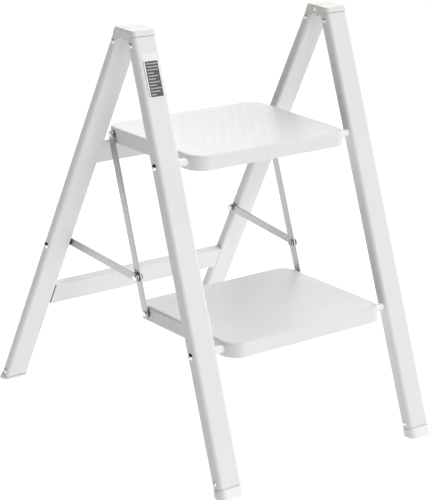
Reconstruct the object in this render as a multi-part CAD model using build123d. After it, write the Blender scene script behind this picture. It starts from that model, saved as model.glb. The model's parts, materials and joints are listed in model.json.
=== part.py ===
from build123d import *
from math import cos, radians, sin, tan
import os

# Folding two-step stool, in millimetres.
# X runs across the stool, Y towards its back, Z up; the origin is on the floor under its middle.
# Front and rear frames lean apart from one hinge axis, which is parallel to X.
# Each frame has its own directions: "down" is the distance along the frame from the hinge axis,
# and "behind" is the distance behind the frame's plane through the hinge axis.

# Overall shape
hinge_height = 640.0
top_height = 646.8
front_lean = 21.6
rear_lean = 23.1
half_spread_at_hinge = 192.9
splay = 0.4

# Front rails and rear legs: rounded rectangular tubes
front_offset = 15.2
front_width = 43.8
front_depth = 19.6
front_corner = 6.6
rear_offset = 12.8
rear_width = 42.8
rear_depth = 15.6
rear_corner = 4.8
tube_wall = 1.2
front_cap_line = 12.0
rear_cap_line = 13.0
front_foot_line = 681.7
rear_foot_line = 693.0

# Hinge caps, hinge pins and feet: moulded plastic with a plug inside the tube
cap_proud = 0.9
cap_edge = 2.4
plug_depth = 24.0
plug_clearance = 0.05
plug_overlap = 2.0
cap_reach = 14.0
seam_side = 9.0
end_groove = 0.7
seam_gap = 0.5
knuckle_radius = 6.4
knuckle_gap = 0.4
knuckle_half_width = 8.0
knuckle_cover = 4.0
hinge_pin_radius = 2.5
foot_proud = 1.2
foot_flare = 6.5
foot_edge = 0.9
front_foot_corner = 10.2
rear_foot_corner = 6.0

# Steps: pressed trays with a turned-down skirt
upper_step_width = 311.0
upper_step_depth = 225.7
lower_step_depth = 230.7
step_corner = 26.0
step_skirt = 23.0
step_sheet = 1.5
step_edge = 3.5
pivot_below_top = 11.5
front_overhang = 23.8
step_arm = 178.3
upper_pivot_down = 201.35
lower_pivot_down = 482.15
step_fold = 64.1
pad_radius = 7.0
pad_thickness = 1.0

# Rear cross bars
bar_height = 39.0
upper_bar_down = 219.2
upper_bar_front = 14.9
upper_bar_depth = 5.6
lower_bar_down = 500.5
lower_bar_front = 5.2
lower_bar_depth = 12.4
weld_gap = 0.05

# Side links and diagonal links: flat bars with round ends
link_width = 12.6
link_thickness = 3.0
link_edge = 0.35
middle_share = 0.205

# Fasteners, washers and spacers
bolt_radius = 3.0
bolt_head_radius = 5.2
bolt_head_height = 2.6
nut_across_flats = 10.0
nut_height = 4.6
thin_nut_height = 2.8
nut_edge = 0.5
rivet_radius = 2.1
rivet_head_radius = 4.0
rivet_head_height = 1.7
rivet_length = 7.0
rivet_from_line = 9.8
dome_rounding = 0.8
shank_overlap = 0.5
rivet_end_gap = 0.2
head_seat = 0.12
thread_end = 0.5
link_rivet_radius = 2.5
washer_radius = 6.6
washer_thickness = 1.4
spacer_radius = 6.2
spacer_bore = 3.15
leg_washer_thickness = 1.0
gap = 0.25
slant_gap = 0.35
running_clearance = 0.06

# Blanks and cutters that only have to be long enough
cut_from_x = 140.0
cut_to_x = 260.0
end_blank = 60.0
floor_blank = 900.0

# Label
label_width = 29.0
label_length = 66.0
label_top_down = 36.0
label_thickness = 0.25
label_corner = 2.0


def ground_reach(lean, offset, depth, line):
    """Distance in Y from the hinge axis to the far edge of a foot's sole."""
    a = radians(lean)
    face = offset + depth / 2 + foot_proud
    down = (hinge_height + face * sin(a)) / cos(a)
    widened = face + (down - line - end_groove) * tan(radians(foot_flare))
    return down * sin(a) + widened * cos(a)


front_reach = ground_reach(front_lean, front_offset, front_depth, front_foot_line)
rear_reach = ground_reach(rear_lean, rear_offset, rear_depth, rear_foot_line)
hinge_y = (front_reach - rear_reach) / 2


def frame_vectors(side_sign, lean):
    """Directions "down" and "behind" of the front (-1) or rear (+1) frame."""
    a = radians(lean)
    down = Vector(0, side_sign * sin(a), -cos(a))
    behind = Vector(0, cos(a), side_sign * sin(a))
    return down, behind


front_down, front_behind = frame_vectors(-1, front_lean)
rear_down, rear_behind = frame_vectors(1, rear_lean)
hinge = Vector(0, hinge_y, hinge_height)


def front_point(down, behind):
    return hinge + front_down * down + front_behind * behind


def rear_point(down, behind):
    return hinge + rear_down * down + rear_behind * behind


# Pivot axes, all parallel to X
upper_pivot = front_point(upper_pivot_down, -front_offset)
lower_pivot = front_point(lower_pivot_down, -front_offset)
upper_pin = upper_pivot + Vector(0, step_arm, 0)
lower_pin = lower_pivot + Vector(0, step_arm, 0)
middle_pin = lower_pin + (upper_pin - lower_pin) * middle_share


def leg_pin_distance():
    """Distance down the leg to the pin that is as far from the middle pin folded as it is open.

    Folded, the rear frame's directions are the front frame's, and the steps have turned by step_fold.
    """
    turned_arm = Vector(0, step_arm * cos(radians(step_fold)), step_arm * sin(radians(step_fold)))
    is_open = middle_pin - hinge
    folded = lower_pivot + turned_arm + (upper_pivot - lower_pivot) * middle_share - hinge
    lengths = is_open.dot(is_open) - folded.dot(folded)
    across = is_open.dot(rear_behind) - folded.dot(front_behind)
    along = is_open.dot(rear_down) - folded.dot(front_down)
    return (lengths - 2 * rear_offset * across) / (2 * along)


leg_pin_down = leg_pin_distance()
leg_pin = rear_point(leg_pin_down, rear_offset)


def half_spread(down):
    return half_spread_at_hinge + down * tan(radians(splay))


# Places across the stool, measured from the middle plane outwards.
# The lower step is wider by as much as the rails spread, and the side links lean out with it.
upper_skirt = upper_step_width / 2
lower_skirt = upper_skirt + half_spread(lower_pivot_down) - half_spread(upper_pivot_down)
link_seat = washer_thickness + 2 * gap
link_at_middle = lower_skirt + (upper_skirt - lower_skirt) * middle_share + link_seat
diagonal_at_middle = link_at_middle + link_thickness + gap + washer_thickness + slant_gap
leg_inside = half_spread(leg_pin_down) - rear_width / 2
leg_outside = half_spread(leg_pin_down) + rear_width / 2
diagonal_at_leg = leg_inside - head_seat - leg_washer_thickness - slant_gap - link_thickness
leg_nut_outside = diagonal_at_leg - slant_gap


def tube_plane(down, behind, offset):
    """Plane at a tube's centre line beside the hinge axis: x outwards, y behind, z up the tube."""
    a = radians(splay)
    across = Vector(1, 0, 0)
    up = -(down * cos(a) + across * sin(a))
    outwards = across * cos(a) - down * sin(a)
    start = hinge + behind * offset + across * half_spread_at_hinge
    return Plane(origin=start, x_dir=outwards, z_dir=up)


front_plane = tube_plane(front_down, front_behind, -front_offset)
rear_plane = tube_plane(rear_down, rear_behind, rear_offset)


def along_x(radius, x0, x1, at):
    """Cylinder parallel to X from x0 to x1, on the axis through point at."""
    return Pos((x0 + x1) / 2, at.Y, at.Z) * Rot(0, 90, 0) * Cylinder(radius, abs(x1 - x0))


def dome(radius, height, x0, at, facing=1):
    """Domed head with its flat side at x0."""
    disc = Cylinder(radius, height, align=(Align.CENTER, Align.CENTER, Align.MIN))
    disc = fillet(disc.edges().sort_by(Axis.Z)[-1], height * dome_rounding)
    return Pos(x0, at.Y, at.Z) * Rot(0, 90 * facing, 0) * disc


def hexagon_nut(x0, height, at):
    """Nut from x0 inwards, with its corners bevelled at both ends."""
    blank = extrude(RegularPolygon(nut_across_flats / 2, 6, major_radius=False), height)
    corner_radius = nut_across_flats / 2 / cos(radians(30))
    bevel = Cylinder(corner_radius, height, align=(Align.CENTER, Align.CENTER, Align.MIN))
    bevel = chamfer(bevel.edges().filter_by(GeomType.CIRCLE), nut_edge)
    nut = (blank & bevel) - Cylinder(bolt_radius, 3 * height)
    return Pos(x0, at.Y, at.Z) * Rot(0, -90, 0) * nut


def washer(x0, x1, at, radius, bore):
    return along_x(radius, x0, x1, at) - along_x(bore, x0 - 1, x1 + 1, at)


def mirrored(shape):
    return mirror(shape, about=Plane.YZ)


def both(shapes):
    """Separate solids of the right side together with their mirror images."""
    solids = [solid for shape in shapes for solid in shape.solids()]
    return Compound(children=solids + [mirrored(solid) for solid in solids])


# Tubes

def tube(plane, width, depth, corner, top, bottom):
    outer = RectangleRounded(width, depth, corner)
    inner = RectangleRounded(width - 2 * tube_wall, depth - 2 * tube_wall, corner - tube_wall)
    return plane * Pos(0, 0, -bottom) * extrude(outer - inner, bottom - top)


def front_rail():
    rail = tube(front_plane, front_width, front_depth, front_corner, front_cap_line, front_foot_line)
    for pivot in (upper_pivot, lower_pivot):
        rail -= along_x(bolt_radius, cut_from_x, cut_to_x, pivot)
    for down in (front_cap_line + rivet_from_line, front_foot_line - rivet_from_line):
        rail -= along_x(rivet_radius, cut_from_x, cut_to_x, front_point(down, -front_offset))
    return rail


def rear_leg():
    leg = tube(rear_plane, rear_width, rear_depth, rear_corner, rear_cap_line, rear_foot_line)
    leg -= along_x(bolt_radius, cut_from_x, cut_to_x, leg_pin)
    for down in (rear_cap_line + rivet_from_line, rear_foot_line - rivet_from_line):
        leg -= along_x(rivet_radius, cut_from_x, cut_to_x, rear_point(down, rear_offset))
    return leg


# Plastic ends

def plug(plane, width, depth, corner, from_down, to_down):
    """Solid core that fills the tube's end."""
    inset = 2 * (tube_wall + plug_clearance)
    core = RectangleRounded(width - inset, depth - inset, corner - tube_wall)
    return plane * Pos(0, 0, -to_down) * extrude(core, to_down - from_down)


def cap_prism(plane, width, depth, corner, offset, side_sign, line):
    """Column above the tube's end that reaches past the hinge axis, with rounded outer corners."""
    column_depth = offset + depth / 2 + cap_proud + cap_reach
    column = RectangleRounded(width + 2 * cap_proud, column_depth, corner + cap_proud)
    centre = -side_sign * (offset + cap_reach - depth / 2 - cap_proud) / 2
    return plane * Pos(0, centre, end_groove - line) * extrude(column, end_blank)


def cap_slab(point, offset, depth, side_sign, line):
    """Side profile of a cap, from the tube's end up to the flat top and in to the seam."""
    face = side_sign * (offset + depth / 2 + cap_proud)
    inner_face = side_sign * seam_gap
    low = line - end_groove
    low_outer = point(low, face)
    lean = front_lean if side_sign < 0 else rear_lean
    climb = (top_height - low_outer.Z) / cos(radians(lean))
    high_outer = point(low - climb, face)
    seam_y = hinge_y + side_sign * seam_gap
    corners = [
        (low_outer.Y, low_outer.Z),
        (high_outer.Y, high_outer.Z),
        (seam_y, top_height),
        (seam_y, hinge_height),
        (point(low, inner_face).Y, point(low, inner_face).Z),
    ]
    profile = Plane.YZ * make_face(Polyline(*corners, close=True))
    return Pos(half_spread_at_hinge, 0, 0) * extrude(profile, end_blank, both=True)


def knuckle(radius, near, far_inside, far_outside):
    """Hinge barrels on both sides of the cap's middle; the outer one stays hidden inside the cap."""
    outer = along_x(radius, half_spread_at_hinge + near, half_spread_at_hinge + far_outside, hinge)
    inner = along_x(radius, half_spread_at_hinge - far_inside, half_spread_at_hinge - near, hinge)
    return outer + inner


def round_top(cap):
    """Soften the flat top's outer edges, leaving the seam sharp."""
    top = cap.edges().filter_by(lambda e: abs(e.center().Z - top_height) < 0.01)
    outer = top.filter_by(lambda e: abs(e.center().Y - hinge_y) > seam_side)
    return fillet(outer, cap_edge)


def front_cap():
    cap = cap_prism(front_plane, front_width, front_depth, front_corner, front_offset, -1, front_cap_line)
    cap = cap & cap_slab(front_point, front_offset, front_depth, -1, front_cap_line)
    cap = round_top(cap)
    side = front_width / 2 + cap_proud
    cap += knuckle(knuckle_radius, knuckle_half_width + seam_gap, side - knuckle_gap, side - knuckle_cover)
    cap -= along_x(
        knuckle_radius + knuckle_gap,
        half_spread_at_hinge - knuckle_half_width - seam_gap,
        half_spread_at_hinge + knuckle_half_width + seam_gap,
        hinge,
    )
    cap += plug(
        front_plane,
        front_width,
        front_depth,
        front_corner,
        front_cap_line - plug_overlap,
        front_cap_line + plug_depth,
    )
    cap -= hinge_pin()
    for x0, x1 in rivet_holes(front_cap_line + rivet_from_line, front_width):
        cap -= along_x(rivet_radius, x0, x1, front_point(front_cap_line + rivet_from_line, -front_offset))
    return cap


def rear_cap():
    cap = cap_prism(rear_plane, rear_width, rear_depth, rear_corner, rear_offset, 1, rear_cap_line)
    cap = cap & cap_slab(rear_point, rear_offset, rear_depth, 1, rear_cap_line)
    cap = round_top(cap)
    pocket_end = front_width / 2 + cap_proud - knuckle_cover + knuckle_gap
    cap -= knuckle(knuckle_radius + knuckle_gap, knuckle_half_width, rear_width, pocket_end)
    cap += along_x(
        knuckle_radius,
        half_spread_at_hinge - knuckle_half_width,
        half_spread_at_hinge + knuckle_half_width,
        hinge,
    )
    cap += plug(
        rear_plane,
        rear_width,
        rear_depth,
        rear_corner,
        rear_cap_line - plug_overlap,
        rear_cap_line + plug_depth,
    )
    bore = hinge_pin_radius + running_clearance
    cap -= along_x(bore, cut_from_x, half_spread_at_hinge + pocket_end, hinge)
    for x0, x1 in rivet_holes(rear_cap_line + rivet_from_line, rear_width):
        cap -= along_x(rivet_radius, x0, x1, rear_point(rear_cap_line + rivet_from_line, rear_offset))
    return cap


def foot(plane, width, depth, corner, shoe_corner, line):
    """Shoe on the tube's end, widening downwards to a level sole."""
    outline = RectangleRounded(width + 2 * foot_proud, depth + 2 * foot_proud, shoe_corner)
    shoe = extrude(outline, end_blank, taper=-foot_flare)
    shoe = plane * Pos(0, 0, -line - end_groove) * Rot(180, 0, 0) * shoe
    bottom_up = (Align.CENTER, Align.CENTER, Align.MIN)
    above_floor = Box(floor_blank, floor_blank, floor_blank, align=bottom_up)
    shoe = shoe & above_floor
    sole = shoe.faces().sort_by(Axis.Z)[0]
    shoe = fillet(sole.edges(), foot_edge)
    return shoe + plug(plane, width, depth, corner, line - plug_depth, line + plug_overlap)


def rivet_holes(down, width):
    """Stretches across a tube, from each side face inwards, that its blind rivets fill."""
    inner = half_spread(down) - width / 2
    outer = half_spread(down) + width / 2
    return (inner - 1, inner + rivet_length), (outer - rivet_length, outer + 1)


def front_foot():
    shoe = foot(
        front_plane, front_width, front_depth, front_corner, front_foot_corner, front_foot_line
    )
    down = front_foot_line - rivet_from_line
    for x0, x1 in rivet_holes(down, front_width):
        shoe -= along_x(rivet_radius, x0, x1, front_point(down, -front_offset))
    return shoe


def rear_foot():
    shoe = foot(rear_plane, rear_width, rear_depth, rear_corner, rear_foot_corner, rear_foot_line)
    down = rear_foot_line - rivet_from_line
    for x0, x1 in rivet_holes(down, rear_width):
        shoe -= along_x(rivet_radius, x0, x1, rear_point(down, rear_offset))
    return shoe


# Fasteners

def blind_rivets(point, offset, down, width):
    """Two rivets, one in each side face of a tube, at distance down."""
    at = point(down, offset)
    inner = half_spread(down) - width / 2
    outer = half_spread(down) + width / 2
    outer_rivet = dome(rivet_head_radius, rivet_head_height, outer + head_seat, at)
    outer_end = outer - rivet_length + rivet_end_gap
    outer_rivet += along_x(rivet_radius, outer_end, outer + shank_overlap, at)
    inner_rivet = dome(rivet_head_radius, rivet_head_height, inner - head_seat, at, facing=-1)
    inner_end = inner + rivet_length - rivet_end_gap
    inner_rivet += along_x(rivet_radius, inner - shank_overlap, inner_end, at)
    return [outer_rivet, inner_rivet]


def hinge_pin():
    """Pin from the cap's inner side face, ending inside the outer barrel."""
    side = front_width / 2 + cap_proud
    outer_end = half_spread_at_hinge + side - knuckle_cover - 1
    return along_x(hinge_pin_radius, half_spread_at_hinge - side, outer_end, hinge)


def step_nut_outside(skirt):
    return skirt - step_sheet - pad_thickness - gap


def pivot_bolt(down, pivot, skirt):
    """Bolt through a rail, a spacer and a step's skirt, with its head outside."""
    seat = half_spread(down) + front_width / 2 + head_seat
    end = step_nut_outside(skirt) - nut_height - thread_end
    shank = along_x(bolt_radius, end, seat + shank_overlap, pivot)
    return shank + dome(bolt_head_radius, bolt_head_height, seat, pivot)


def pivot_spacer(down, pivot, skirt):
    rail_inside = half_spread(down) - front_width / 2 - head_seat
    return washer(skirt + gap, rail_inside, pivot, spacer_radius, spacer_bore)


def leg_bolt():
    """Bolt through a leg, a washer and a diagonal link, with its head outside."""
    seat = leg_outside + head_seat
    end = leg_nut_outside - thin_nut_height - thread_end
    shank = along_x(bolt_radius, end, seat + shank_overlap, leg_pin)
    return shank + dome(bolt_head_radius, bolt_head_height, seat, leg_pin)


def leg_washer():
    outer = leg_inside - head_seat
    return washer(outer - leg_washer_thickness, outer, leg_pin, washer_radius, bolt_radius)


def link_rivet(pin, skirt):
    """Rivet through a side link, its washer and a step's skirt."""
    tail_seat = skirt - step_sheet - pad_thickness
    head_at = skirt + link_seat + link_thickness + gap
    head = dome(rivet_head_radius, rivet_head_height, head_at, pin)
    shank = along_x(link_rivet_radius, tail_seat - gap, head_at + gap, pin)
    tail = dome(rivet_head_radius, rivet_head_height, tail_seat, pin, facing=-1)
    return head + shank + tail


def link_washer(pin, skirt):
    return washer(skirt, skirt + washer_thickness, pin, washer_radius, link_rivet_radius)


# Steps and cross bars

def step_tray(pivot, skirt, depth):
    front_edge = pivot.Y - front_overhang
    top = pivot.Z + pivot_below_top
    middle = Pos(0, front_edge + depth / 2, top - step_skirt)
    outer = extrude(RectangleRounded(2 * skirt, depth, step_corner), step_skirt)
    rim = outer.edges().filter_by(lambda e: abs(e.center().Z - step_skirt) < 0.01)
    outer = fillet(rim, step_edge)
    skirt_inside = skirt - step_sheet
    hollow = RectangleRounded(2 * skirt_inside, depth - 2 * step_sheet, step_corner - step_sheet)
    core = extrude(hollow, step_skirt - step_sheet)
    core_rim = core.edges().filter_by(lambda e: abs(e.center().Z - step_skirt + step_sheet) < 0.01)
    core = fillet(core_rim, step_edge - step_sheet)
    tray = middle * (outer - core)
    pin = pivot + Vector(0, step_arm, 0)
    for at in (pivot, pin):
        pad = along_x(pad_radius, skirt_inside - pad_thickness, skirt, at)
        tray += pad
        tray += mirrored(pad)
    tray -= along_x(bolt_radius + running_clearance, -2 * skirt, 2 * skirt, pivot)
    return tray - along_x(link_rivet_radius, -2 * skirt, 2 * skirt, pin)


def cross_bar(down, front, depth):
    """Flat tube between the legs' inner faces, its top at distance down along them."""
    back = front + depth
    bottom = down + bar_height
    ends = [(down, front), (down, back), (bottom, back), (bottom, front)]
    corners = [rear_point(*end) for end in ends]
    section = make_face(Polyline(*[(corner.Y, corner.Z) for corner in corners], close=True))
    ring = section - offset(section, -tube_wall)
    bar = extrude(Plane.YZ * ring, half_spread_at_hinge, both=True)
    return bar & room_between_legs()


def room_between_legs():
    """Wedge between the legs' inner faces, which widens towards the floor."""
    at_hinge = half_spread_at_hinge - rear_width / 2 - weld_gap
    height = hinge_height / cos(radians(rear_lean))
    at_floor = at_hinge + height * tan(radians(splay))
    outline = [(-at_hinge, hinge_height), (at_hinge, hinge_height), (at_floor, 0), (-at_floor, 0)]
    return extrude(Plane.XZ * make_face(Polyline(*outline, close=True)), hinge_height, both=True)


# Links

def at_x(point, x):
    return Vector(x, point.Y, point.Z)


def flat_bar(start, end, start_hole, end_hole):
    """Flat bar with round ends, its inner face running from point start to point end."""
    along = end - start
    outwards = Vector(1, 0, 0) - along * (along.X / along.dot(along))
    bar = extrude(SlotCenterToCenter(along.length, link_width), link_thickness)
    bar = chamfer(bar.edges().filter_by(Axis.Z, reverse=True), link_edge)
    bar = Plane(origin=(start + end) / 2, x_dir=along, z_dir=outwards) * bar
    for at, hole in ((start, start_hole), (end, end_hole)):
        bar -= along_x(hole, at.X - link_width, at.X + link_width, at)
    return bar


def side_link():
    loose = link_rivet_radius + running_clearance
    top = at_x(upper_pin, upper_skirt + link_seat)
    bottom = at_x(lower_pin, lower_skirt + link_seat)
    link = flat_bar(top, bottom, loose, loose)
    return link - along_x(bolt_radius, cut_from_x, cut_to_x, middle_pin)


def middle_nut():
    """Nut inside a side link, with the thread end that fills the link."""
    seat = link_at_middle - gap / 2
    end = seat - thin_nut_height - thread_end
    thread = along_x(bolt_radius, end, link_at_middle + link_thickness, middle_pin)
    return thread + hexagon_nut(seat, thin_nut_height, middle_pin)


def diagonal_link():
    loose = bolt_radius + running_clearance
    rear_end = at_x(leg_pin, diagonal_at_leg)
    middle_end = at_x(middle_pin, diagonal_at_middle)
    return flat_bar(rear_end, middle_end, loose, bolt_radius)


def middle_washer():
    inner = link_at_middle + link_thickness + gap
    return washer(inner, inner + washer_thickness, middle_pin, washer_radius, bolt_radius)


def middle_bolt():
    """Head outside a diagonal link, and the shank that fills the link and the washer."""
    seat = diagonal_at_middle + link_thickness + slant_gap
    inner = link_at_middle + link_thickness + gap
    shank = along_x(bolt_radius, inner, seat + shank_overlap, middle_pin)
    return shank + dome(bolt_head_radius, bolt_head_height, seat, middle_pin)


# Label

def rail_label():
    """Thin sticker on the flat part of the left front rail's front face."""
    sheet = RectangleRounded(label_width, label_length, label_corner)
    face = Pos(0, -front_depth / 2 - 0.02, -label_top_down - label_length / 2)
    placed = front_plane * face * Rot(90, 0, 0) * extrude(sheet, label_thickness)
    return mirrored(placed)


def build():
    """Every node's solids by name."""
    front = (front_point, -front_offset, front_width)
    rear = (rear_point, rear_offset, rear_width)
    rivets = {
        "front_cap_rivets": (front_cap_line + rivet_from_line, front),
        "front_foot_rivets": (front_foot_line - rivet_from_line, front),
        "rear_cap_rivets": (rear_cap_line + rivet_from_line, rear),
        "rear_foot_rivets": (rear_foot_line - rivet_from_line, rear),
    }
    right_only = {
        "front_rail": front_rail(),
        "front_cap": front_cap(),
        "front_foot": front_foot(),
        "rear_leg": rear_leg(),
        "rear_cap": rear_cap(),
        "rear_foot": rear_foot(),
        "side_link": side_link(),
        "middle_bolt": middle_bolt(),
        "diagonal_link": diagonal_link(),
        "middle_washer": middle_washer(),
        "middle_nut": middle_nut(),
    }
    nodes = {}
    for name, shape in right_only.items():
        nodes[name + "_right"] = shape
        nodes[name + "_left"] = mirrored(shape)
    nodes["hinge_pins"] = both([hinge_pin()])
    for name, (down, (point, offset, width)) in rivets.items():
        nodes[name] = both(blind_rivets(point, offset, down, width))
    pivots = ((upper_pivot_down, upper_pivot, upper_skirt), (lower_pivot_down, lower_pivot, lower_skirt))
    nuts = [hexagon_nut(step_nut_outside(skirt), nut_height, pivot) for down, pivot, skirt in pivots]
    nodes["step_pivot_bolts"] = both([pivot_bolt(*place) for place in pivots])
    nodes["step_pivot_nuts"] = both(nuts)
    nodes["step_spacers"] = both([pivot_spacer(*place) for place in pivots])
    nodes["leg_bolts"] = both([leg_bolt()])
    nodes["leg_nuts"] = both([hexagon_nut(leg_nut_outside, thin_nut_height, leg_pin)])
    nodes["leg_washers"] = both([leg_washer()])
    nodes["upper_cross_bar"] = cross_bar(upper_bar_down, upper_bar_front, upper_bar_depth)
    nodes["lower_cross_bar"] = cross_bar(lower_bar_down, lower_bar_front, lower_bar_depth)
    nodes["upper_step"] = step_tray(upper_pivot, upper_skirt, upper_step_depth)
    nodes["lower_step"] = step_tray(lower_pivot, lower_skirt, lower_step_depth)
    nodes["upper_link_rivets"] = both([link_rivet(upper_pin, upper_skirt)])
    nodes["upper_link_washers"] = both([link_washer(upper_pin, upper_skirt)])
    nodes["lower_link_rivets"] = both([link_rivet(lower_pin, lower_skirt)])
    nodes["lower_link_washers"] = both([link_washer(lower_pin, lower_skirt)])
    nodes["rail_label"] = rail_label()
    return nodes


def main():
    os.makedirs("parts", exist_ok=True)
    for name, shape in build().items():
        export_step(shape, "parts/" + name + ".step")


main()
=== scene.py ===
import json
from math import cos, pi, radians, sin, sqrt

import bmesh
import bpy
import numpy as np
from mathutils import Matrix, Vector


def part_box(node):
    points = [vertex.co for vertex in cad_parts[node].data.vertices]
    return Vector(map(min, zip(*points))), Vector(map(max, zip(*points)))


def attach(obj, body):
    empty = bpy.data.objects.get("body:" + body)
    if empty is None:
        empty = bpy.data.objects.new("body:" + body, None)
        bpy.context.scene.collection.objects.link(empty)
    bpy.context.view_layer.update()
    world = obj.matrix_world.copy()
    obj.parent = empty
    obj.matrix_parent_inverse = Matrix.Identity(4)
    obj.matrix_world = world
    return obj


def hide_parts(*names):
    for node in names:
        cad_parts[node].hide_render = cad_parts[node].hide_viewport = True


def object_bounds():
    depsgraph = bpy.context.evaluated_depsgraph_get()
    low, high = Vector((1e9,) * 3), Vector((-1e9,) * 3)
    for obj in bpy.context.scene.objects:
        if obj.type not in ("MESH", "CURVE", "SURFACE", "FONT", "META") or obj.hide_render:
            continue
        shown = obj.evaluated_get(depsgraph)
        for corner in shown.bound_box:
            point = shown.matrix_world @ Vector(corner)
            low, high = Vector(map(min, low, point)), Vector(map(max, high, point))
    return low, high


# A folding two-step stool: the CAD model carries the frame, treads and links, and this script gives it
# its finishes, the heads of its rivets and bolts, the ribs on its treads and the print on its label.

MM = 0.001

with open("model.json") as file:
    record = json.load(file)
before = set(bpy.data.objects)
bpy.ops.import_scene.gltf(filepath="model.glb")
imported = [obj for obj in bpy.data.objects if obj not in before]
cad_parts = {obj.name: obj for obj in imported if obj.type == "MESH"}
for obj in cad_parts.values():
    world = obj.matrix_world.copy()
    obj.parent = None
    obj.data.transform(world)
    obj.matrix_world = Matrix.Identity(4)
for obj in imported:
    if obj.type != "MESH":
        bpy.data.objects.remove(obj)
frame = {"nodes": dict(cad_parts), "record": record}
cad_box = [list(corner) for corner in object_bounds()]
low, high = Vector(cad_box[0]), Vector(cad_box[1])
centre = (low + high) / 2
nodes = frame["nodes"]


# ---------------------------------------------------------------- node helpers

class Shader:
    """A node tree with a Principled surface and short calls for the nodes used here."""

    def __init__(self, name):
        self.material = bpy.data.materials.new(name)
        self.material.use_nodes = True
        self.tree = self.material.node_tree
        self.surface = self.tree.nodes["Principled BSDF"]
        self.place = self.add("ShaderNodeTexCoord").outputs["Object"]

    def add(self, kind, **settings):
        node = self.tree.nodes.new(kind)
        for key, value in settings.items():
            setattr(node, key, value)
        return node

    def link(self, output, socket):
        self.tree.links.new(output, socket)

    def set(self, **values):
        """Fixed values on the surface's own sockets."""
        for key, value in values.items():
            self.surface.inputs[key.replace("_", " ")].default_value = value

    def noise(self, size, detail=2.0, roughness=0.5, stretch=None):
        """Noise whose features are about size metres across, longer where stretch says so."""
        node = self.add("ShaderNodeTexNoise")
        node.inputs["Scale"].default_value = 1 / size
        node.inputs["Detail"].default_value = detail
        node.inputs["Roughness"].default_value = roughness
        place = self.place
        if stretch:
            mapping = self.add("ShaderNodeMapping")
            mapping.inputs["Scale"].default_value = [1 / s for s in stretch]
            self.link(place, mapping.inputs["Vector"])
            place = mapping.outputs["Vector"]
        self.link(place, node.inputs["Vector"])
        return node.outputs["Fac"]

    def cells(self, size):
        node = self.add("ShaderNodeTexVoronoi")
        node.inputs["Scale"].default_value = 1 / size
        self.link(self.place, node.inputs["Vector"])
        return node.outputs["Distance"]

    def ramp(self, value, stops):
        """Colours or greys between the given places."""
        node = self.add("ShaderNodeValToRGB")
        elements = node.color_ramp.elements
        while len(elements) < len(stops):
            elements.new(0.5)
        for element, (place, colour) in zip(elements, stops):
            element.position = place
            element.color = (*colour, 1)
        self.link(value, node.inputs["Fac"])
        return node.outputs["Color"]

    def range(self, value, low_out, high_out, low_in=0.3, high_in=0.7):
        node = self.add("ShaderNodeMapRange")
        limits = {"From Min": low_in, "From Max": high_in, "To Min": low_out, "To Max": high_out}
        for key, number in limits.items():
            node.inputs[key].default_value = number
        self.link(value, node.inputs["Value"])
        return node.outputs["Result"]

    def bump(self, height, strength, distance, below=None):
        node = self.add("ShaderNodeBump")
        node.inputs["Strength"].default_value = strength
        node.inputs["Distance"].default_value = distance
        self.link(height, node.inputs["Height"])
        if below:
            self.link(below, node.inputs["Normal"])
        return node.outputs["Normal"]

    def finish(self, colour, roughness, normal):
        self.link(colour, self.surface.inputs["Base Color"])
        self.link(roughness, self.surface.inputs["Roughness"])
        self.link(normal, self.surface.inputs["Normal"])
        return self.material


def grey(value, ivory=0.0):
    """A light neutral colour, with less blue the more ivory it is."""
    return (value, value, value * (1 - ivory))


# ---------------------------------------------------------------- materials

def enamel(name, value, grain):
    """Powder-coated metal: a fine pebbled skin with faint cloudiness."""
    s = Shader(name)
    cloud = s.noise(0.09, detail=3)
    pebble = s.noise(grain, detail=3, roughness=0.6)
    colour = s.ramp(cloud, [(0.3, grey(value * 0.98)), (0.7, grey(value))])
    rough = s.range(pebble, 0.32, 0.44)
    wave = s.bump(s.noise(0.012), 0.08, 0.0004)
    normal = s.bump(pebble, 0.22, 0.00012, below=wave)
    s.set(Specular_IOR_Level=0.35)
    return s.finish(colour, rough, normal)


def moulded(name, value, ivory, rough_low, rough_high):
    """Moulded plastic with a fine spark-eroded texture and faint flow marks."""
    s = Shader(name)
    flow = s.noise(0.03, detail=2, stretch=(1, 1, 3))
    grain = s.noise(0.0007, detail=2)
    colour = s.ramp(flow, [(0.3, grey(value * 0.965, ivory * 1.2)), (0.7, grey(value, ivory))])
    rough = s.range(grain, rough_low, rough_high)
    normal = s.bump(grain, 0.15, 0.00008)
    s.set(Subsurface_Weight=0.08, Subsurface_Scale=0.002, Specular_IOR_Level=0.45)
    return s.finish(colour, rough, normal)


def plated(name, value, rough_low, rough_high, scratch):
    """Plated metal with fine handling scratches and slightly uneven polish."""
    s = Shader(name)
    smear = s.noise(0.004, detail=3)
    lines = s.noise(0.0005, detail=2, stretch=scratch)
    colour = s.ramp(smear, [(0.25, grey(value * 0.88)), (0.75, grey(value))])
    rough = s.range(lines, rough_low, rough_high)
    normal = s.bump(lines, 0.12, 0.00003)
    s.set(Metallic=1.0)
    return s.finish(colour, rough, normal)


def dark(name, value):
    """Matt black, as on a plastic washer; also the painted shade down in a screw's socket or a rivet's
    mandrel hole.
    """
    s = Shader(name)
    grain = s.noise(0.0006)
    colour = s.ramp(grain, [(0.3, grey(value * 0.6)), (0.7, grey(value))])
    s.set(Specular_IOR_Level=0.2)
    return s.finish(colour, s.range(grain, 0.5, 0.7), s.bump(grain, 0.2, 0.00006))


def printed(name, value):
    """Satin film with a faint print grain."""
    s = Shader(name)
    grain = s.cells(0.0006)
    haze = s.noise(0.01)
    colour = s.ramp(haze, [(0.3, grey(value * 0.93)), (0.7, grey(value))])
    return s.finish(colour, s.range(grain, 0.22, 0.34, 0, 1), s.bump(grain, 0.06, 0.00003))


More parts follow.
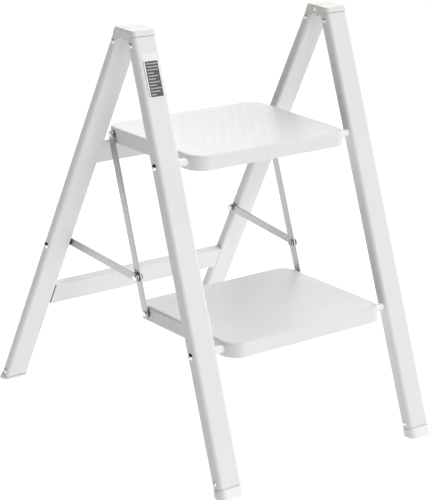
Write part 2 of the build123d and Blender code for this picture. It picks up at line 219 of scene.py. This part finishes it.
looks = {
    "frame_enamel": enamel("frame_white", 0.68, 0.0011),
    "tread_enamel": enamel("tread_white", 0.68, 0.0015),
    "cap_plastic": moulded("cap_ivory", 0.69, 0.06, 0.3, 0.42),
    "foot_plastic": moulded("foot_ivory", 0.76, 0.035, 0.38, 0.52),
    "chromed_steel": plated("chromed", 0.82, 0.06, 0.14, (1, 1, 1)),
    "zinc_steel": plated("zinc", 0.42, 0.2, 0.34, (1, 1, 1)),
    "link_steel": plated("link_metal", 0.53, 0.3, 0.44, (1, 1, 12)),
    "spacer_plastic": moulded("spacer_white", 0.79, 0.0, 0.16, 0.26),
    "washer_plastic": dark("washer_black", 0.03),
    "label_film": printed("label_pale", 0.76),
}
# Painted shade: near black for the insides of the rivet and bolt recesses.
socket_shade = dark("socket_shade", 0.012)
label_ink = printed("label_ink", 0.06)
label_rule = printed("label_rule", 0.42)


def dress(obj, material):
    obj.data.materials.clear()
    obj.data.materials.append(material)


slot_of = {part["node"]: part["material_slot"] for part in frame["record"]["subparts"]}
for name, node in nodes.items():
    dress(node, looks[slot_of[name]])


# ---------------------------------------------------------------- mesh helpers

SHARP_ANGLE = 32
TURNED_SEGMENTS = 36


def piece(name, bm, slot, body, smooth=True):
    """An object from a finished bmesh, in its material and riding on its body."""
    bmesh.ops.recalc_face_normals(bm, faces=bm.faces)
    mesh = bpy.data.meshes.new(name)
    bm.to_mesh(mesh)
    bm.free()
    obj = bpy.data.objects.new(name, mesh)
    bpy.context.scene.collection.objects.link(obj)
    if smooth:
        mesh.shade_smooth()
        mesh.set_sharp_from_angle(angle=radians(SHARP_ANGLE))
    dress(obj, looks[slot])
    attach(obj, body)
    return obj


def solids(name):
    """Boxes of a CAD node's separate solids."""
    bm = bmesh.new()
    bm.from_mesh(nodes[name].data)
    bmesh.ops.remove_doubles(bm, verts=bm.verts, dist=0.01 * MM)
    left = set(bm.verts)
    boxes = []
    while left:
        group = {left.pop()}
        edge = list(group)
        while edge:
            near = {e.other_vert(v) for v in edge for e in v.link_edges} - group
            group |= near
            edge = list(near)
        left -= group
        axes = [[v.co[i] for v in group] for i in range(3)]
        boxes.append((Vector([min(a) for a in axes]), Vector([max(a) for a in axes])))
    bm.free()
    return boxes


def polygon_radius(inner, corners, angle):
    """Distance to a regular polygon's side, inner being its distance at the middle of a side."""
    step = 2 * pi / corners
    return inner / cos((angle + step / 2) % step - step / 2)


def turned(bm, at, facing, rings, shaded):
    """Adds a turned shape along X: rings are (radius, distance along facing, corners or 0 for round).

    The last shaded rings and the face they enclose take the object's second material, a near-black painted
    shade for the inside of a recess.
    """
    loops = []
    for radius, along, corners in rings:
        loop = []
        for i in range(TURNED_SEGMENTS):
            angle = 2 * pi * i / TURNED_SEGMENTS
            r = polygon_radius(radius, corners, angle) if corners else radius
            loop.append(bm.verts.new(at + Vector((facing * along, r * cos(angle), r * sin(angle))) * MM))
        loops.append(loop)
    bm.faces.new(loops[0])
    for k, (a, b) in enumerate(zip(loops, loops[1:])):
        for i in range(TURNED_SEGMENTS):
            j = (i + 1) % TURNED_SEGMENTS
            bm.faces.new((a[i], a[j], b[j], b[i])).material_index = int(k >= len(loops) - 1 - shaded)
    bm.faces.new(loops[-1]).material_index = int(shaded > 0)


# ---------------------------------------------------------------- rivet and bolt heads

BLIND_HEAD = 1.7
BOLT_HEAD = 2.6
BOLT_HEAD_RADIUS = 5.2
BUTTON_CURVE = 6.5
BUTTON_SOCKET = 1.75
# How many strips at the bottom of each head's recess take the painted shade.
SHADED_SOCKET_RINGS = 2


def blind_rivet_rings(length):
    """From the shank's end to the broken mandrel in the middle of the head; the lower wall and floor of the
    mandrel hole take the painted shade.
    """
    return [
        (1.9, -length, 0), (2.1, -length + 0.3, 0), (2.1, 0.0, 0), (3.75, 0.0, 0), (4.0, 0.22, 0),
        (3.96, 0.5, 0), (3.7, 0.88, 0), (3.2, 1.24, 0), (2.75, 1.5, 0), (2.4, 1.62, 0),
        (2.15, 1.58, 0), (2.05, 1.4, 0), (1.98, 0.75, 0), (1.85, 0.5, 0), (0.2, 0.45, 0),
    ]


def button_bolt_rings(length):
    """From the shank's end over a button head into its hexagon socket, whose wall and floor take the painted
    shade.
    """
    top = BOLT_HEAD - 0.02
    fall = sqrt(BUTTON_CURVE ** 2 - BUTTON_SOCKET ** 2)
    crown = []
    for part in (1.0, 0.92, 0.82, 0.7, 0.57, 0.44):
        radius = BOLT_HEAD_RADIUS * part
        crown.append((radius, top - fall + sqrt(BUTTON_CURVE ** 2 - radius ** 2), 0))
    shank = [(2.7, -length, 0), (3.0, -length + 0.35, 0), (3.0, 0.0, 0), (BOLT_HEAD_RADIUS - 0.2, 0.0, 0)]
    socket = [
        (BUTTON_SOCKET, top, 6), (1.6, top - 0.14, 6), (1.6, BOLT_HEAD * 0.42, 6), (0.2, BOLT_HEAD * 0.22, 0),
    ]
    return shank + crown + socket


def refit_heads(node, slot, body, head_height, rings):
    """Stands detailed heads and shanks in for a node's fasteners."""
    boxes = solids(node)
    bm = bmesh.new()
    for side in (-1, 1):
        group = [box for box in boxes if side * (box[0] + box[1]).x > 0]
        group.sort(key=lambda box: ((box[0] + box[1]).z, (box[0] + box[1]).x))
        for lo, hi in group:
            facing = head_direction(lo, hi, group, side)
            outer = hi.x if facing > 0 else lo.x
            at = Vector((outer - facing * head_height * MM, (lo.y + hi.y) / 2, (lo.z + hi.z) / 2))
            turned(bm, at, facing, rings((hi.x - lo.x) / MM - head_height), SHADED_SOCKET_RINGS)
    stand_in = piece(node + "_detail", bm, slot, body)
    # Second material: near-black painted shade down in each head's socket or mandrel hole.
    stand_in.data.materials.append(socket_shade)
    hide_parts(node)
    return stand_in


def head_direction(lo, hi, group, side):
    """Outwards for the outermost fastener at a height, and inwards for one that lies further in."""
    near = [b for b in group if abs((b[0] + b[1] - lo - hi).z) < 2 * MM]
    outermost = max(side * (b[0] + b[1]).x for b in near)
    return side if side * (lo + hi).x >= outermost - MM else -side


for node, body in (
    ("front_cap_rivets", "front_frame"),
    ("front_foot_rivets", "front_frame"),
    ("rear_cap_rivets", "rear_frame"),
    ("rear_foot_rivets", "rear_frame"),
):
    refit_heads(node, "chromed_steel", body, BLIND_HEAD, blind_rivet_rings)
for node, body in (("step_pivot_bolts", "front_frame"), ("leg_bolts", "rear_frame")):
    refit_heads(node, "chromed_steel", body, BOLT_HEAD, button_bolt_rings)


# ---------------------------------------------------------------- tread ribs

RIB_LENGTH = 15.0
RIB_PITCH = 20.0
RIB_ROWS = 12.5
RIB_WIDTH = 2.4
RIB_HEIGHT = 0.4
RIB_WAVE = 0.8
RIB_BORDER = 24.0
RIB_TIP = 0.35
RIB_STATIONS = 10
RIB_ACROSS = 6
RIB_SUNK = 0.05


def rib(bm, x, y, z):
    """One low wavy rib along X, rounded across and fading out at its ends."""
    rows = []
    for i in range(RIB_STATIONS + 1):
        t = i / RIB_STATIONS
        fade = max(0.0, 1 - (2 * t - 1) ** 6) ** 0.5
        px = x + (t - 0.5) * RIB_LENGTH
        middle = y + RIB_WAVE * sin(2 * pi * t)
        half_width = RIB_WIDTH / 2 * (RIB_TIP + (1 - RIB_TIP) * fade)
        row = []
        for k in range(RIB_ACROSS + 1):
            u = 2 * k / RIB_ACROSS - 1
            h = RIB_HEIGHT * (1 - u * u) * fade
            row.append(bm.verts.new(Vector((px, middle + u * half_width, z + h)) * MM))
        rows.append(row)
    for a, b in zip(rows, rows[1:]):
        for k in range(RIB_ACROSS):
            bm.faces.new((a[k], b[k], b[k + 1], a[k + 1]))
        bm.faces.new((a[0], a[RIB_ACROSS], b[RIB_ACROSS], b[0]))
    bm.faces.new(rows[0])
    bm.faces.new(rows[-1])


def tread_ribs(node):
    lo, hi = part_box(node)
    x0, x1 = lo.x / MM + RIB_BORDER, hi.x / MM - RIB_BORDER
    y0, y1 = lo.y / MM + RIB_BORDER, hi.y / MM - RIB_BORDER
    top = hi.z / MM - RIB_SUNK
    bm = bmesh.new()
    rows = int((y1 - y0) / RIB_ROWS)
    for row in range(rows + 1):
        y = (y0 + y1) / 2 + (row - rows / 2) * RIB_ROWS
        count = int((x1 - x0 - RIB_LENGTH) / RIB_PITCH) - row % 2
        for i in range(count + 1):
            rib(bm, (x0 + x1) / 2 + (i - count / 2) * RIB_PITCH, y, top)
    return piece(node + "_ribs", bm, "tread_enamel", node)


for node in ("upper_step", "lower_step"):
    tread_ribs(node)


# ---------------------------------------------------------------- label print

PRINT_DEPTH = 0.04


def label_axes():
    """Middle of the label's outer face with its directions across, along and out of the rail."""
    points = np.array([v.co for v in nodes["rail_label"].data.vertices])
    middle = (points.max(axis=0) + points.min(axis=0)) / 2
    axes = np.linalg.eigh(np.cov((points - middle).T))[1]
    out, across, along = (Vector(axes[:, i]) for i in range(3))
    out *= -1 if out.y > 0 else 1
    across *= -1 if across.x < 0 else 1
    along *= -1 if along.z < 0 else 1
    thickness = max(Vector(p - middle).dot(out) for p in points)
    return Vector(middle) + out * thickness, across, along, out


def printed_patches(name, patches, level, material):
    """Flat printed rectangles (left, right, bottom, top) in mm from the label's middle."""
    middle, across, along, out = label_axes()
    bm = bmesh.new()
    for left, right, bottom, top in patches:
        corners = []
        for height in (level * PRINT_DEPTH, (level + 1) * PRINT_DEPTH):
            for x, s in ((left, bottom), (right, bottom), (right, top), (left, top)):
                corners.append(bm.verts.new(middle + (across * x + along * s + out * height) * MM))
        a, b = corners[:4], corners[4:]
        bm.faces.new(a)
        bm.faces.new(b)
        for i in range(4):
            bm.faces.new((a[i - 1], a[i], b[i], b[i - 1]))
    dress(piece(name, bm, "label_film", "front_frame", smooth=False), material)


panel = (-10.2, 13.2, -32.0, 20.6)
edge_line = (-13.6, -12.7, -31.0, 22.0)
rule_lengths = (20.0, 20.0, 19.0, 11.0, 18.5, 13.0, 19.5, 12.0, 20.0, 17.0, 9.0)
rules = []
for row, length in enumerate(rule_lengths):
    top = panel[3] - 3.0 - row * 4.55
    rules.append((panel[0] + 1.8, panel[0] + 1.8 + length, top - 1.5, top))
printed_patches("label_panel", [panel, edge_line], 0, label_ink)
printed_patches("label_rules", rules, 1, label_rule)


# ---------------------------------------------------------------- floor, lights and camera

# Reach in metres of the painted pool of light on the floor around the stool.
PAINTED_GLOW_REACH = 3.0
FLOOR_SIZE = 30.0
BRIGHT_SIDE = (0.76, 0.06, 0.65)


def floor():
    """A pale floor that glows like a light table, brightest in a pool around the stool: painted light that
    whitens the stool's shadow on the floor.
    """
    mesh = bpy.data.meshes.new("floor")
    corners = [(x * FLOOR_SIZE, y * FLOOR_SIZE, 0) for x, y in ((-1, -1), (1, -1), (1, 1), (-1, 1))]
    mesh.from_pydata(corners, [], [(0, 1, 2, 3)])
    obj = bpy.data.objects.new("floor", mesh)
    bpy.context.scene.collection.objects.link(obj)
    s = Shader("floor_white")
    haze = s.noise(1.5)
    colour = s.ramp(haze, [(0.3, grey(0.25)), (0.7, grey(0.26))])
    mapping = s.add("ShaderNodeMapping")
    mapping.inputs["Scale"].default_value = [1 / PAINTED_GLOW_REACH] * 3
    s.link(s.place, mapping.inputs["Vector"])
    pool = s.add("ShaderNodeTexGradient", gradient_type="SPHERICAL")
    s.link(mapping.outputs["Vector"], pool.inputs["Vector"])
    # Painted light: the floor's glow is strongest in a pool around the stool, to whiten its shadow.
    painted_glow = s.ramp(pool.outputs["Fac"], [(0.1, grey(0.76)), (0.7, grey(1.0))])
    s.link(painted_glow, s.surface.inputs["Emission Color"])
    s.set(Emission_Strength=0.98)
    dress(obj, s.finish(colour, s.range(haze, 0.8, 0.9), s.bump(haze, 0.02, 0.001)))


def aim(obj, target, roll=0.0):
    turn = (target - obj.location).to_track_quat("-Z", "Y").to_matrix().to_4x4()
    obj.matrix_world = Matrix.Translation(obj.location) @ turn @ Matrix.Rotation(roll, 4, "Z")


def area_light(name, direction, distance, size, power):
    data = bpy.data.lights.new(name, "AREA")
    data.shape = "DISK"
    data.size = size
    data.energy = power
    obj = bpy.data.objects.new(name, data)
    bpy.context.scene.collection.objects.link(obj)
    obj.location = centre + Vector(direction).normalized() * distance
    aim(obj, centre)


def studio():
    """A bright surround that is dark on the left, and a key from the front and slightly left."""
    world = bpy.data.worlds.new("studio")
    bpy.context.scene.world = world
    world.use_nodes = True
    tree = world.node_tree
    place = tree.nodes.new("ShaderNodeTexCoord")
    dot = tree.nodes.new("ShaderNodeVectorMath")
    dot.operation = "DOT_PRODUCT"
    dot.inputs[1].default_value = Vector(BRIGHT_SIDE).normalized()
    tree.links.new(place.outputs["Generated"], dot.inputs[0])
    ramp = tree.nodes.new("ShaderNodeValToRGB")
    ramp.color_ramp.elements[0].color = (0.01, 0.01, 0.01, 1)
    ramp.color_ramp.elements[1].color = (1, 1, 1, 1)
    spread = tree.nodes.new("ShaderNodeMapRange")
    spread.inputs["From Min"].default_value = 0.22
    spread.inputs["From Max"].default_value = 0.55
    tree.links.new(dot.outputs["Value"], spread.inputs["Value"])
    tree.links.new(spread.outputs["Result"], ramp.inputs["Fac"])
    tree.links.new(ramp.outputs["Color"], tree.nodes["Background"].inputs["Color"])
    tree.nodes["Background"].inputs["Strength"].default_value = 1.75
    area_light("key", (-0.17, -0.86, 0.48), distance=3.5, size=0.5, power=17)
    area_light("front_fill", (-0.2, -0.95, 0.2), distance=3.2, size=1.9, power=7)


def camera():
    data = bpy.data.cameras.new("camera")
    data.sensor_fit = "HORIZONTAL"
    data.sensor_width = 36
    data.lens = 158.1
    obj = bpy.data.objects.new("camera", data)
    bpy.context.scene.collection.objects.link(obj)
    azimuth, elevation, roll, distance = radians(41.09), radians(18.33), radians(2.86), 3.003
    target = centre + Vector((-0.0144, -0.0101, -0.0517))
    back = Vector((-sin(azimuth) * cos(elevation), -cos(azimuth) * cos(elevation), sin(elevation)))
    obj.location = target + back * distance
    aim(obj, target, roll)
    bpy.context.scene.camera = obj


floor()
studio()
camera()
bpy.context.scene.view_settings.view_transform = "Standard"
